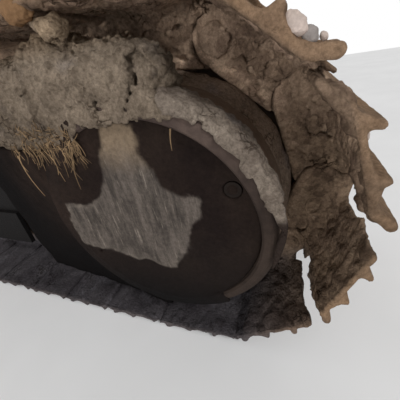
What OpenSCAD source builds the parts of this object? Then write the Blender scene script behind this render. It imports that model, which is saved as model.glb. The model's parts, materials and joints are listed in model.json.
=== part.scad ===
// Crawler track unit of an excavator in the 20 tonne class: one side's undercarriage.
// X runs along the track with the drive end at +X, Y across it with the open side at -Y, Z is up.
// The origin is on the ground, midway between the two wheels, in the middle plane of the chain.

/* [Chain] */
// Length of one link from pin to pin
link_pitch = 190; // [180:1:200]
// Teeth of the drive sprocket, two for each link that passes
sprocket_teeth = 21; // [21:2:25]
// Links in the upper run, and as many in the lower run
straight_links = 17; // [16:1:20]
// Distance from the pins to the running surface of the rails
pin_to_rail = 51; // [48:1:60]
// Distance from the pins to the inner face of the shoes
pin_to_shoe = 52; // [44:1:56]
// Thickness of one rail
rail_t = 36; // [28:1:40]
// Width of the chain over the outer faces of the rails
chain_w = 192; // [180:2:210]
// Radius of the bushings that the sprocket drives
bush_r = 29; // [24:1:30]

/* [Shoes] */
// Width of the shoes across the track
shoe_w = 600; // [500:10:700]
// Thickness of the shoe plate
plate_t = 12; // [8:1:14]
// Height of the grousers above the plate
grouser_h = 18; // [14:1:26]
// Spacing of the three grousers along the link
grouser_gap = 74; // [66:1:76]

/* [Drive end] */
// Radius of the final drive's drum
drum_r = 248; // [225:1:250]
// Distance from the middle of the chain to the drum's outer rim
drum_out = 294; // [270:1:299]
// Width of the drum's rim round the cover
rim_w = 30; // [16:1:40]
// Depth of the cover's face below the rim
cover_depth = 12; // [6:1:24]
// Thickness of the sprocket
sprocket_t = 54; // [40:1:60]
// Radius of the fixed casing that carries the drum
casing_r = 165; // [140:1:175]
// Radius of the travel motor
motor_r = 105; // [90:1:120]
// Thickness of the bracket that the final drive is bolted to
bracket_t = 30; // [24:1:36]

/* [Idler] */
// Radius of the idler's axle
axle_r = 40; // [32:1:46]
// Height of the idler's middle flange above its treads
flange_h = 22; // [14:1:26]
// Side of the square blocks that hold the axle
block_h = 150; // [130:1:160]

/* [Rollers] */
// Number of rollers that stand on the lower run
roller_count = 8; // [6:1:8]
// Radius of the lower rollers' treads
roller_r = 78; // [70:1:82]
// Height of the lower rollers' flanges above their treads
roller_flange = 17; // [10:1:20]
// Radius of the rollers' shafts
shaft_r = 30; // [24:1:34]
// Number of rollers under the upper run
carrier_count = 2; // [1:1:3]
// Radius of the upper rollers
carrier_r = 60; // [50:1:66]

/* [Frame] */
// Width of the frame's beam
beam_w = 300; // [280:2:320]
// Thickness of the frame's plates
beam_plate = 14; // [10:1:20]
// Thickness of the frame's lower rails, which the rollers hang from
rail_bar = 28; // [20:1:30]
// Height of the sloped roof of the beam
roof_h = 80; // [50:1:100]

/* [Legs] */
// Distance from the middle of the track to each leg
leg_x = 640; // [500:10:760]
// Length of a leg's flange along the track
flange_l = 420; // [380:2:480]
// Thickness of a leg's flange
flange_t = 30; // [24:1:40]
// Radius of the bolt holes in the flanges
bolt_hole_r = 16.5; // [10:0.5:18]

/* [Hidden] */

// Clearances: between seated pieces, round a running shaft, and beside a moving wheel
seat = 0.3;
fit = 0.05;
moving_gap = 5;

// Chain geometry: the pins lie on a circle round each wheel, one link to each two teeth
link_angle = 720 / sprocket_teeth;
pin_circle = link_pitch / (2 * sin(link_angle / 2));
wrap_links = 6;
wrap_end = link_angle * wrap_links / 2;
run_h = pin_circle * sin(wrap_end);
wheel_x = straight_links * link_pitch / 2 - pin_circle * cos(wrap_end);
shoe_out = pin_to_shoe + plate_t + grouser_h;
wheel_z = run_h + shoe_out;
link_count = 2 * (straight_links + wrap_links);
rail_low = wheel_z - run_h + pin_to_rail;
rail_high = wheel_z + run_h - pin_to_rail;
link_mid_r = pin_circle * cos(link_angle / 2);
rail_y0 = chain_w / 2 - rail_t;
rail_y1 = chain_w / 2;

// Idler: its treads run just inside the rails
idler_r = link_mid_r - pin_to_rail - moving_gap;
tread_y0 = rail_y0 - 12;
tread_y1 = rail_y1 + 3;

// Lower rollers and the beam above them
roller_z = rail_low + seat + roller_r;
roller_x1 = wheel_x - 420;
roller_step = 2 * roller_x1 / (roller_count - 1);
collar_h = 50;
beam_low = roller_z + collar_h;
channel_z = roller_z + roller_r + roller_flange + 8;
beam_top = rail_high - 2 * carrier_r - 24;
beam_side = beam_top - roof_h;
beam_x0 = -(wheel_x - idler_r - flange_h - 190);
beam_x1 = wheel_x - pin_circle - 40;
beam_y = beam_w / 2;
roof_y = beam_y - 62;

// Drum: it turns on the casing's seat
drum_bore = casing_r + 12;
cover_r = drum_r - rim_w;

// Upper rollers
carrier_z = rail_high - seat - carrier_r;
carrier_x = leg_x - flange_l / 2 - 80;
carrier_step = carrier_count > 1 ? 2 * carrier_x / (carrier_count - 1) : 0;

// Shoe in its link's frame: distance along the link, distance outward from the pins
shoe_start = -12;
shoe_end = link_pitch - 22;
hook_root = 38;
lip = 2;
tip_w = 10;
foot_w = 30;
grouser_mid = link_pitch / 2 - 10;
joint_gap = 22;
seat_in = 2;

function at(p, d, n, uv) = [p[0] + d[0] * uv[0] + n[0] * uv[1], p[1] + d[1] * uv[0] + n[1] * uv[1]];
function on_wheel(side, a) = [side * wheel_x + pin_circle * cos(a), wheel_z + pin_circle * sin(a)];

// Pins in order: down round the drive end, along the ground, up round the idler, back along the top
pins = concat(
    [for (i = [0:wrap_links]) on_wheel(1, wrap_end - i * link_angle)],
    [for (i = [1:straight_links - 1]) on_wheel(1, -wrap_end) - [i * link_pitch, 0]],
    [for (i = [0:wrap_links]) on_wheel(-1, 180 + wrap_end - i * link_angle)],
    [for (i = [1:straight_links - 1]) on_wheel(-1, 180 - wrap_end) + [i * link_pitch, 0]]
);
function along(i) = (pins[(i + 1) % link_count] - pins[i]) / link_pitch;
function outward(i) = [-along(i)[1], along(i)[0]];
function on_link(i, uv) = at(pins[i], along(i), outward(i), uv);
function before(i) = (i + link_count - 1) % link_count;
function joint_out(i) = (outward(i) + outward(before(i))) / norm(outward(i) + outward(before(i)));
function at_joint(i, v) = pins[i] + joint_out(i) * v;

// Slab between two places across the track, from an outline of (x, z)
module slab(y0, y1) {
    translate([0, y1, 0]) rotate([90, 0, 0]) linear_extrude(y1 - y0) children();
}

// The same outline on both sides of the chain
module both_slabs(y0, y1) {
    slab(y0, y1) children();
    slab(-y1, -y0) children();
}

// Solid of revolution about an axis along Y, from points of (radius, y)
module turned(pts) {
    rotate([90, 0, 0]) rotate_extrude($fn = 96) polygon([for (p = pts) [p[0], -p[1]]]);
}

// Round bar or hole along Y
module bar(r, y0, y1, sides = 48) {
    translate([0, y1, 0]) rotate([90, 0, 0]) cylinder(r = r, h = y1 - y0, $fn = sides);
}

module at_drive() translate([wheel_x, 0, wheel_z]) children();
module at_idler() translate([-wheel_x, 0, wheel_z]) children();

module each_roller() {
    for (i = [0:roller_count - 1])
        translate([-roller_x1 + i * roller_step, 0, roller_z]) children();
}

module each_carrier() {
    for (i = [0:carrier_count - 1])
        translate([(i - (carrier_count - 1) / 2) * carrier_step, 0, carrier_z]) children();
}

// Side view of a shoe: plate, two worn grousers and a hooked one at the end that overlaps the next
function shoe_outline() =
    let (v0 = pin_to_shoe, v1 = v0 + plate_t, v2 = shoe_out, g0 = grouser_mid - grouser_gap, g1 = grouser_mid)
    [
        [shoe_start, v0 - lip],
        [shoe_end - hook_root, v0],
        [shoe_end, v2 - plate_t / 2],
        [shoe_end - tip_w, v2],
        [shoe_end - foot_w, v1],
        [g1 + foot_w / 2, v1],
        [g1 + tip_w / 2, v2],
        [g1 - tip_w / 2, v2],
        [g1 - foot_w / 2, v1],
        [g0 + foot_w / 2, v1],
        [g0 + tip_w / 2, v2],
        [g0 - tip_w / 2, v2],
        [g0 - foot_w / 2, v1]
    ];

// Side view of the rails: one closed loop, notched behind each pin, and let into the shoes
module rail_loop() {
    outer = [for (i = [0:link_count - 1]) each [
        at_joint(i, pin_to_shoe * 0.66),
        on_link(i, [joint_gap, pin_to_shoe + seat_in]),
        on_link(i, [shoe_end - hook_root - 6, pin_to_shoe + seat_in])
    ]];
    inner = [for (i = [0:link_count - 1]) each [
        on_link(i, [joint_gap, -pin_to_rail]),
        on_link(i, [link_pitch - joint_gap, -pin_to_rail])
    ]];
    difference() {
        polygon(outer);
        polygon(inner);
    }
}

module track() {
    color([0.42, 0.34, 0.26]) {
        slab(-shoe_w / 2, shoe_w / 2)
            for (i = [0:link_count - 1])
                polygon([for (p = shoe_outline()) on_link(i, p)]);
        both_slabs(rail_y0, rail_y1) rail_loop();
        for (p = pins)
            translate([p[0], 0, p[1]]) bar(bush_r, -rail_y0 - 1, rail_y0 + 1, 8);
    }
}

// Sprocket: a disc with a pocket for each bushing, open outward
module sprocket() {
    pocket_r = bush_r + 1.5;
    tooth_tip = pin_circle + 16;
    color([0.30, 0.25, 0.21]) at_drive()
        slab(-sprocket_t / 2, sprocket_t / 2)
            difference() {
                circle(tooth_tip, $fn = 128);
                circle(drum_bore, $fn = 96);
                for (i = [0:sprocket_teeth - 1])
                    rotate(i * link_angle / 2) {
                        translate([pin_circle, 0]) circle(pocket_r, $fn = 32);
                        polygon([
                            [pin_circle, -pocket_r], [tooth_tip + 20, -pocket_r - 12],
                            [tooth_tip + 20, pocket_r + 12], [pin_circle, pocket_r]
                        ]);
                    }
            }
}

// Final drive: the turning drum that the sprocket is bolted to
module drive_drum() {
    rim_round = 20;
    wall = 26;
    back = -sprocket_t / 2;
    color([0.24, 0.20, 0.17]) at_drive()
        turned([
            [drum_bore, back],
            [drum_r, back],
            for (a = [0:15:90])
                [drum_r - rim_round + rim_round * cos(a), -drum_out + rim_round - rim_round * sin(a)],
            [cover_r + 4, -drum_out],
            [cover_r, -drum_out + 4],
            [cover_r, -drum_out + cover_depth + wall],
            [drum_bore, -drum_out + cover_depth + wall]
        ]);
}

// Cover: a disc sunk in the drum's rim, with two plug bores
plug_r = 15;
plug_at = cover_r - 24;
plug_angles = [28, 208];

module drum_cover() {
    color([0.36, 0.31, 0.26]) at_drive()
        difference() {
            turned([
                [0, -drum_out + cover_depth + 26 - seat],
                [cover_r - 0.3, -drum_out + cover_depth + 26 - seat],
                [cover_r - 0.3, -drum_out + cover_depth + 5],
                [cover_r - 6, -drum_out + cover_depth],
                [0, -drum_out + cover_depth]
            ]);
            for (a = plug_angles)
                rotate([0, -a, 0]) translate([plug_at, 0, 0])
                    bar(plug_r, -drum_out, -drum_out + cover_depth + 14);
        }
}

module drum_plugs() {
    color([0.30, 0.26, 0.22]) at_drive()
        for (a = plug_angles)
            rotate([0, -a, 0]) translate([plug_at, 0, 0])
                difference() {
                    bar(plug_r - seat, -drum_out + cover_depth + 2, -drum_out + cover_depth + 14 - seat);
                    bar(plug_r / 2, -drum_out, -drum_out + cover_depth + 8, 6);
                }
}

// Fixed casing inside the drum, with the flange that meets the bracket
module motor_casing() {
    color([0.28, 0.24, 0.20]) at_drive()
        turned([
            [0, -drum_out + cover_depth + 60],
            [drum_bore - 10, -drum_out + cover_depth + 60],
            [drum_bore - seat, -drum_out + cover_depth + 70],
            [drum_bore - seat, sprocket_t / 2 + 10],
            [casing_r, sprocket_t / 2 + 10],
            [casing_r, beam_y - 22],
            [casing_r + 45, beam_y - 22],
            [casing_r + 45, beam_y],
            [casing_r - 8, beam_y],
            [casing_r - 8, beam_y + bracket_t],
            [0, beam_y + bracket_t]
        ]);
}

module travel_motor() {
    end_y = shoe_w / 2 - 4;
    color([0.26, 0.25, 0.24]) at_drive() {
        turned([
            [0, beam_y + bracket_t],
            [motor_r + 22, beam_y + bracket_t],
            [motor_r + 22, beam_y + bracket_t + 16],
            [motor_r, beam_y + bracket_t + 26],
            [motor_r, end_y - 20],
            [motor_r - 16, end_y],
            [0, end_y]
        ]);
        translate([-motor_r - 20, beam_y + bracket_t + 30, -45]) cube([60, 62, 90]);
    }
}

// Bracket: a plate from the beam's inner side to a ring round the casing
module drive_bracket() {
    ring_r = casing_r + 62;
    lap = 210;
    color([0.46, 0.33, 0.16])
        slab(beam_y, beam_y + bracket_t)
            difference() {
                union() {
                    translate([wheel_x, wheel_z]) circle(ring_r, $fn = 96);
                    polygon([
                        [beam_x1 - lap, beam_low + 12],
                        [beam_x1, beam_low + 12],
                        [wheel_x - 40, wheel_z - ring_r + 6],
                        [wheel_x - 40, wheel_z + ring_r - 6],
                        [beam_x1, beam_side - 6],
                        [beam_x1 - lap, beam_side - 6]
                    ]);
                }
                translate([wheel_x, wheel_z]) circle(casing_r - 8 + seat, $fn = 96);
            }
}

// Frame: a hollow beam with a sloped roof and a channel below for the rollers
function beam_section() = [
    [-beam_y, beam_low], [-beam_y, beam_side], [-roof_y, beam_top],
    [roof_y, beam_top], [beam_y, beam_side], [beam_y, beam_low],
    [beam_y - rail_bar, beam_low], [beam_y - rail_bar, channel_z],
    [-beam_y + rail_bar, channel_z], [-beam_y + rail_bar, beam_low]
];

module along_x(x0, x1) {
    translate([x0, 0, 0]) rotate([90, 0, 90]) linear_extrude(x1 - x0) children();
}

module beam_hollow() {
    polygon([
        [-beam_y + beam_plate, channel_z + beam_plate],
        [-beam_y + beam_plate, beam_side - beam_plate / 3],
        [-roof_y + beam_plate / 2, beam_top - beam_plate],
        [roof_y - beam_plate / 2, beam_top - beam_plate],
        [beam_y - beam_plate, beam_side - beam_plate / 3],
        [beam_y - beam_plate, channel_z + beam_plate]
    ]);
}

module track_frame() {
    color([0.48, 0.34, 0.16])
        along_x(beam_x0, beam_x1)
            difference() {
                polygon(beam_section());
                beam_hollow();
            }
}

// Plates that close the beam; the one at the idler end lets the adjuster's rod through
rod_r = 38;
end_t = 20;
module frame_ends() {
    color([0.46, 0.33, 0.16]) {
        difference() {
            along_x(beam_x0, beam_x0 + end_t) offset(delta = -seat) beam_hollow();
            translate([beam_x0 - 1, 0, wheel_z]) rotate([0, 90, 0]) cylinder(r = rod_r + seat, h = end_t + 2, $fn = 48);
        }
        along_x(beam_x1 - end_t, beam_x1) offset(delta = -seat) beam_hollow();
    }
}

// Fork: two plates outside the chain, each with a slot in which a block slides
fork_end = wheel_x + block_h / 2 + 28;
fork_h = block_h / 2 + 46;
module idler_fork() {
    color([0.47, 0.34, 0.17])
        both_slabs(beam_y - rail_bar, beam_y)
            difference() {
                polygon([
                    [beam_x0 - seat, beam_low + 10], [-fork_end + 30, wheel_z - fork_h], [-fork_end, wheel_z - fork_h + 24],
                    [-fork_end, wheel_z + fork_h - 24], [-fork_end + 30, wheel_z + fork_h], [beam_x0 - seat, beam_side - 10]
                ]);
                polygon([
                    [-fork_end - 1, wheel_z - block_h / 2 - seat], [-wheel_x + block_h / 2 + 60, wheel_z - block_h / 2 - seat],
                    [-wheel_x + block_h / 2 + 60, wheel_z + block_h / 2 + seat], [-fork_end - 1, wheel_z + block_h / 2 + seat]
                ]);
            }
}

// Idler: two treads for the rails, a middle flange between them, a web and a hub
module idler() {
    rim = 34;
    hub_r = axle_r + 42;
    hub_y = tread_y1 - 6;
    web_y = 16;
    color([0.34, 0.27, 0.20]) at_idler()
        turned([
            [axle_r + fit, -hub_y], [hub_r, -hub_y], [hub_r, -web_y],
            [idler_r - rim, -web_y], [idler_r - rim + 10, -tread_y1],
            [idler_r, -tread_y1], [idler_r, -tread_y0],
            [idler_r + flange_h, -tread_y0 + 8], [idler_r + flange_h, tread_y0 - 8],
            [idler_r, tread_y0], [idler_r, tread_y1],
            [idler_r - rim + 10, tread_y1], [idler_r - rim, web_y],
            [hub_r, web_y], [hub_r, hub_y], [axle_r + fit, hub_y]
        ]);
}

module idler_axle() {
    color([0.40, 0.37, 0.34]) at_idler() bar(axle_r, -beam_y, beam_y);
}

block_y0 = tread_y1 + moving_gap + 2;
module idler_blocks() {
    color([0.40, 0.31, 0.21]) at_idler()
        both_slabs(block_y0, beam_y + 6)
            difference() {
                square([block_h, block_h], center = true);
                circle(axle_r + fit, $fn = 48);
            }
}

// Yoke: a crosspiece behind the idler, with an arm to each block
yoke_x = wheel_x - idler_r - flange_h - 14;
yoke_t = 50;
yoke_h = 140;
arm_h = 110;
module idler_yoke() {
    arm_y1 = beam_y - rail_bar - seat;
    arm_x0 = -wheel_x + block_h / 2;
    color([0.42, 0.33, 0.22]) {
        both_slabs(block_y0, arm_y1)
            polygon([
                [arm_x0, wheel_z - arm_h / 2], [-yoke_x, wheel_z - yoke_h / 2],
                [-yoke_x + yoke_t, wheel_z - yoke_h / 2], [-yoke_x + yoke_t, wheel_z + yoke_h / 2],
                [-yoke_x, wheel_z + yoke_h / 2], [arm_x0, wheel_z + arm_h / 2]
            ]);
        slab(-block_y0 - 1, block_y0 + 1)
            translate([-yoke_x, wheel_z - yoke_h / 2]) square([yoke_t, yoke_h]);
    }
}

module adjuster_rod() {
    color([0.50, 0.48, 0.45])
        translate([-yoke_x + yoke_t, 0, wheel_z]) rotate([0, 90, 0])
            cylinder(r = rod_r, h = beam_x0 + end_t + 40 + yoke_x - yoke_t, $fn = 48);
}

// Lower rollers: two flanged treads on a waisted body
module bottom_rollers() {
    flange_r = roller_r + roller_flange;
    color([0.36, 0.29, 0.22]) each_roller()
        turned([
            [shaft_r + fit, -rail_y1 - 20], [flange_r - 14, -rail_y1 - 20],
            [flange_r, -rail_y1 - 14], [flange_r, -rail_y1 - 5], [roller_r, -rail_y1 - 2],
            [roller_r, -rail_y0 + 10], [roller_r - 22, -rail_y0 + 24],
            [roller_r - 22, rail_y0 - 24], [roller_r, rail_y0 - 10],
            [roller_r, rail_y1 + 2], [flange_r, rail_y1 + 5], [flange_r, rail_y1 + 14],
            [flange_r - 14, rail_y1 + 20], [shaft_r + fit, rail_y1 + 20]
        ]);
}

module roller_shafts() {
    color([0.42, 0.38, 0.34]) each_roller() bar(shaft_r, -beam_y, beam_y);
}

// Collars: blocks under the beam's rails that hold the shafts
module roller_collars() {
    collar_w = 110;
    collar_y0 = rail_y1 + 22;
    color([0.38, 0.31, 0.23]) each_roller()
        both_slabs(collar_y0, beam_y)
            difference() {
                union() {
                    circle(shaft_r + 16, $fn = 48);
                    translate([-collar_w / 2, 0]) square([collar_w, collar_h]);
                }
                circle(shaft_r + fit, $fn = 48);
            }
}

module carrier_rollers() {
    color([0.37, 0.30, 0.22]) each_carrier()
        turned([
            [shaft_r + fit, -rail_y1 - 14], [carrier_r + 10, -rail_y1 - 14],
            [carrier_r + 10, -rail_y1 - 6], [carrier_r, -rail_y1 - 3],
            [carrier_r, rail_y1 + 3], [carrier_r + 10, rail_y1 + 6],
            [carrier_r + 10, rail_y1 + 14], [shaft_r + fit, rail_y1 + 14]
        ]);
}

module carrier_shafts() {
    color([0.42, 0.38, 0.34]) each_carrier() bar(shaft_r, -rail_y1 - 20, beam_y + stand_t);
}

stand_t = 26;

// Stands: posts on the beam's inner side that hold the upper rollers' shafts
module carrier_stands() {
    stand_w = 120;
    color([0.46, 0.33, 0.17])
        each_carrier()
            slab(beam_y, beam_y + stand_t)
                difference() {
                    union() {
                        circle(shaft_r + 18, $fn = 48);
                        polygon([
                            [-stand_w / 2, beam_side - 70 - carrier_z], [stand_w / 2, beam_side - 70 - carrier_z],
                            [shaft_r + 16, 0], [-shaft_r - 16, 0]
                        ]);
                    }
                    circle(shaft_r + fit, $fn = 48);
                }
}

// Guides: pairs of plates that keep the lower run in line
module chain_guides() {
    guide_l = 300;
    color([0.44, 0.33, 0.19])
        for (x = [-wheel_x * 0.5, wheel_x * 0.5])
            both_slabs(beam_y + seat, beam_y + seat + 16)
                translate([x, 0])
                    polygon([
                        [-guide_l / 2, beam_low + 20], [-guide_l / 2 + 30, rail_low - 6],
                        [guide_l / 2 - 30, rail_low - 6], [guide_l / 2, beam_low + 20]
                    ]);
}

// Cover over the track adjuster's grease fitting, on the outer side
module adjuster_cover() {
    color([0.44, 0.32, 0.16])
        slab(-beam_y - 8, -beam_y)
            translate([beam_x0 + 380, (channel_z + beam_side) / 2])
                offset(r = 14, $fn = 24) square([150, 60], center = true);
}

// Legs: box arms from the beam's inner side to the flanges of the car body
leg_low = beam_low + 24;
leg_high = beam_side - 8;
module leg(x) {
    end_y = shoe_w / 2 - flange_t;
    color([0.50, 0.35, 0.16])
        slab(beam_y, end_y)
            difference() {
                translate([x - flange_l / 2 + 40, leg_low]) square([flange_l - 80, leg_high - leg_low]);
                translate([x - flange_l / 2 + 40 + beam_plate, leg_low + beam_plate])
                    square([flange_l - 80 - 2 * beam_plate, leg_high - leg_low - 2 * beam_plate]);
            }
}
module leg_front() leg(-leg_x);
module leg_rear() leg(leg_x);

flange_z0 = leg_low - 40;
flange_z1 = leg_high + 40;
bolt_dx = flange_l - 60;
bolt_dz = flange_z1 - flange_z0 - 50;
module leg_flanges() {
    color([0.46, 0.33, 0.17])
        for (x = [-leg_x, leg_x])
            slab(shoe_w / 2 - flange_t, shoe_w / 2)
                difference() {
                    translate([x - flange_l / 2, flange_z0]) square([flange_l, flange_z1 - flange_z0]);
                    for (sx = [-1, 1], sz = [-1, 1])
                        translate([x + sx * bolt_dx / 2, (flange_z0 + flange_z1) / 2 + sz * bolt_dz / 2])
                            circle(bolt_hole_r, $fn = 32);
                }
}

// Clay packed between the drum and the upper run: lumps of (x, z, radius) from the drum's axis
clay_lumps = [[66, 256, 40], [0, 268, 62], [-110, 262, 76], [-230, 250, 74], [-320, 238, 68]];
clay_mid_y = drum_out - 78;
clay_low = 152;
module mud_clump() {
    color([0.55, 0.49, 0.42])
        at_drive()
            difference() {
                for (i = [0:len(clay_lumps) - 2])
                    hull()
                        for (lump = [clay_lumps[i], clay_lumps[i + 1]])
                            translate([lump[0], -clay_mid_y, lump[1]]) sphere(lump[2], $fn = 20);
                bar(drum_r + seat, -drum_out - 40, 0, 96);
                translate([-500, -drum_out - 40, 0]) cube([1000, drum_out + 40, clay_low]);
            }
}

// Smooth clay banked against the drum, from the beam's side down to the shoes
bank_end = -640;
bank_slope = 112;
bank_foot = pin_circle * cos(wrap_end) - 2;
bank_high = clay_low - seat;
bank_low = -run_h - pin_to_shoe + lip + seat;
module bank_slice(z, outer, start) {
    translate([0, 0, z])
        linear_extrude(1)
            polygon(concat(outer, [[start, -beam_y - seat], [bank_end, -beam_y - seat]]));
}
module mud_bank() {
    color([0.30, 0.26, 0.23])
        at_drive()
            difference() {
                hull() {
                    bank_slice(bank_low, [[bank_end, -beam_y - 30], [-267, -214], [bank_foot, -242]], bank_foot);
                    bank_slice(bank_high - 1, [
                        [bank_end, -beam_y - 36],
                        [-drum_r - bank_slope, -drum_out + 40],
                        [-drum_r, -drum_out + 4]
                    ], 0);
                }
                bar(drum_r + seat, -drum_out - 40, 0, 96);
            }
}

// Clay that lies on the drum's rim
strip_t = 14;
strip_w = 74;
strip_start = -10;
strip_end = 61;
module mud_strip() {
    strip_y = drum_out - 8;
    color([0.45, 0.38, 0.30]) at_drive()
        rotate([90, 0, 0]) rotate([0, 0, strip_start])
            rotate_extrude(angle = strip_end - strip_start, $fn = 96)
                polygon([
                    [drum_r + seat, strip_y], [drum_r + strip_t, strip_y - strip_t],
                    [drum_r + strip_t, strip_y - strip_w + strip_t], [drum_r + seat, strip_y - strip_w]
                ]);
}

track();
sprocket();
drive_drum();
drum_cover();
drum_plugs();
motor_casing();
travel_motor();
drive_bracket();
track_frame();
frame_ends();
idler_fork();
idler();
idler_axle();
idler_blocks();
idler_yoke();
adjuster_rod();
bottom_rollers();
roller_shafts();
roller_collars();
carrier_rollers();
carrier_shafts();
carrier_stands();
chain_guides();
adjuster_cover();
leg_front();
leg_rear();
leg_flanges();
mud_clump();
mud_bank();
mud_strip();
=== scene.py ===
import json
import math
import bpy
import numpy as np
from mathutils import Matrix, Vector, noise


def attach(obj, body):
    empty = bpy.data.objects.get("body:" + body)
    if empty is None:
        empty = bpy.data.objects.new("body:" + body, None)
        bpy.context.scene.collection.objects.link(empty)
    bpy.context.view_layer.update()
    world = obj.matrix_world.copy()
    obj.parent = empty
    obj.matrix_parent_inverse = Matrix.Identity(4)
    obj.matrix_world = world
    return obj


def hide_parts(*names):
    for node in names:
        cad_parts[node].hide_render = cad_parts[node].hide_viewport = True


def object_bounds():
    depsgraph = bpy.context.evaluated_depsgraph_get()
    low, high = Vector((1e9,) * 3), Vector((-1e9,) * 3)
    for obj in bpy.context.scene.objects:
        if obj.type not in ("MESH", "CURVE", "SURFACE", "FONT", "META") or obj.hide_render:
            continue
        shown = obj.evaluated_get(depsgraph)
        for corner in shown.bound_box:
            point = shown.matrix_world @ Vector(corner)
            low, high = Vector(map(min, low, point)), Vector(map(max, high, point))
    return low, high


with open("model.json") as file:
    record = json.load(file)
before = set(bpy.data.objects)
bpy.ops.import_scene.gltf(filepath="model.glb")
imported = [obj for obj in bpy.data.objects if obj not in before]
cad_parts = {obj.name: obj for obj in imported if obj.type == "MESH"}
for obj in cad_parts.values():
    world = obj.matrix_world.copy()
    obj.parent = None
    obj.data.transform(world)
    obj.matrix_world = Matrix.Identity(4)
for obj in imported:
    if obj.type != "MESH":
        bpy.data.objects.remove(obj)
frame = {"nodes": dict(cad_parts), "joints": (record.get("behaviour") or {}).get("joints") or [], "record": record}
cad_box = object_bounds()
scene = bpy.context.scene

# Millimetres are used for shapes, as in the CAD source, and metres for materials and cameras
MM = 0.001
COARSER = 1.0

# Places of the two wheels: the drive end is at +X and the idler at -X
idler_place = frame["joints"][0]["pos_m"]
WHEEL_X = -idler_place[0] / MM
WHEEL_Z = idler_place[2] / MM
DRIVE = np.array([WHEEL_X, 0, WHEEL_Z])

# Chain, as in the CAD source
PITCH = 190
SPROCKET_TEETH = 21
LINK_ANGLE = math.radians(720 / SPROCKET_TEETH)
WRAP_LINKS = 6
STRAIGHT_LINKS = 17
LINKS = 2 * (STRAIGHT_LINKS + WRAP_LINKS)
PIN_CIRCLE = PITCH / (2 * math.sin(LINK_ANGLE / 2))
TO_SHOE = 52
SHOE_HALF = 300
RAIL_IN = 60
RAIL_OUT = 96
BUSH_R = 29

# Drum at the drive end
DRUM_R = 248
DRUM_OUT = 294
COVER_R = 218
COVER_DEPTH = 12
COVER_FACE = DRUM_OUT - COVER_DEPTH

# Camera: its place from the drive wheel's middle, and the angles of the photograph
CAMERA_FROM_DRIVE = np.array([246.5, -590.3, 281.0])
YAW, PITCH_DOWN, ROLL = math.radians(23.48), math.radians(32.13), math.radians(10.06)
LENS, SENSOR, NEAREST = 20.45, 36, 0.02

# The CAD model's box in millimetres, made smaller by a little on every side
INSET = 0.3
BOX_LOW = np.array(cad_box[0]) / MM + INSET
BOX_HIGH = np.array(cad_box[1]) / MM - INSET


def add_object(name, data):
    thing = bpy.data.objects.new(name, data)
    scene.collection.objects.link(thing)
    return thing


def add_camera():
    side = Vector((math.cos(YAW), math.sin(YAW), 0))
    level = Vector((-math.sin(YAW), math.cos(YAW), 0))
    ahead = level * math.cos(PITCH_DOWN) - Vector((0, 0, 1)) * math.sin(PITCH_DOWN)
    up = Vector((0, 0, 1)) * math.cos(PITCH_DOWN) + level * math.sin(PITCH_DOWN)
    right = side * math.cos(ROLL) - up * math.sin(ROLL)
    top = side * math.sin(ROLL) + up * math.cos(ROLL)
    data = bpy.data.cameras.new("camera")
    data.lens = LENS
    data.sensor_width = SENSOR
    data.clip_start = NEAREST
    camera = add_object("camera", data)
    place = Matrix((right, top, -ahead)).transposed().to_4x4()
    place.translation = Vector((DRIVE + CAMERA_FROM_DRIVE) * MM)
    camera.matrix_world = place
    scene.camera = camera


# Fields: arrays of the distance to a surface on a grid of points, below zero inside
def grid(low, high, step):
    """The three axes of a grid, shaped so that they spread over each other."""
    x, y, z = (np.arange(a, b + step, step) for a, b in zip(low, high))
    return x[:, None, None], y[None, :, None], z[None, None, :]


def melt(a, b, reach):
    """Both solids, joined by a fillet of about that reach."""
    h = np.clip(0.5 + 0.5 * (b - a) / reach, 0, 1)
    return b + (a - b) * h - reach * h * (1 - h)


def carve(a, b, reach):
    """Solid a without b, with a rounded edge."""
    return -melt(-a, b, reach)


def bar_field(u, v, u0, v0, r0, u1, v1, r1):
    """A bar from one point to another whose half thickness runs from r0 to r1."""
    du, dv = u1 - u0, v1 - v0
    t = np.clip(((u - u0) * du + (v - v0) * dv) / (du * du + dv * dv), 0, 1)
    return np.hypot(u - u0 - t * du, v - v0 - t * dv) - (r0 + t * (r1 - r0))


def slab_field(outline, y, y0, y1, edge):
    """An outline made solid between y0 and y1, with rounded edges."""
    a = outline + edge
    b = np.abs(y - (y0 + y1) / 2) - (y1 - y0) / 2 + edge
    return np.minimum(np.maximum(a, b), 0) + np.hypot(np.maximum(a, 0), np.maximum(b, 0)) - edge


def rect_field(u, v, u0, u1, v0, v1, edge):
    """A rectangle with rounded corners."""
    return slab_field(np.abs(u - (u0 + u1) / 2) - (u1 - u0) / 2, v, v0, v1, edge)


def lump_field(x, y, z, centre, radii):
    """An ellipsoid, with a distance that is right near its surface."""
    a, b, c = ((p - q) / r for p, q, r in zip((x, y, z), centre, radii))
    k = np.sqrt(a * a + b * b + c * c) + 1e-9
    slope = np.sqrt((a / radii[0]) ** 2 + (b / radii[1]) ** 2 + (c / radii[2]) ** 2) + 1e-9
    return k * (k - 1) / slope


def inside_outline(x, z, outline):
    """Distance to a closed outline, below zero inside."""
    best = np.full(np.broadcast(x, z).shape, 1e9)
    sign = np.ones(best.shape)
    for (x0, z0), (x1, z1) in zip(outline, outline[1:] + outline[:1]):
        dx, dz = x1 - x0, z1 - z0
        t = np.clip(((x - x0) * dx + (z - z0) * dz) / (dx * dx + dz * dz), 0, 1)
        best = np.minimum(best, np.hypot(x - x0 - t * dx, z - z0 - t * dz))
        if z0 != z1:
            crosses = ((z0 > z) != (z1 > z)) & (x < x0 + (z - z0) * dx / dz)
            sign = np.where(crosses, -sign, sign)
    return best * sign


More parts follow.
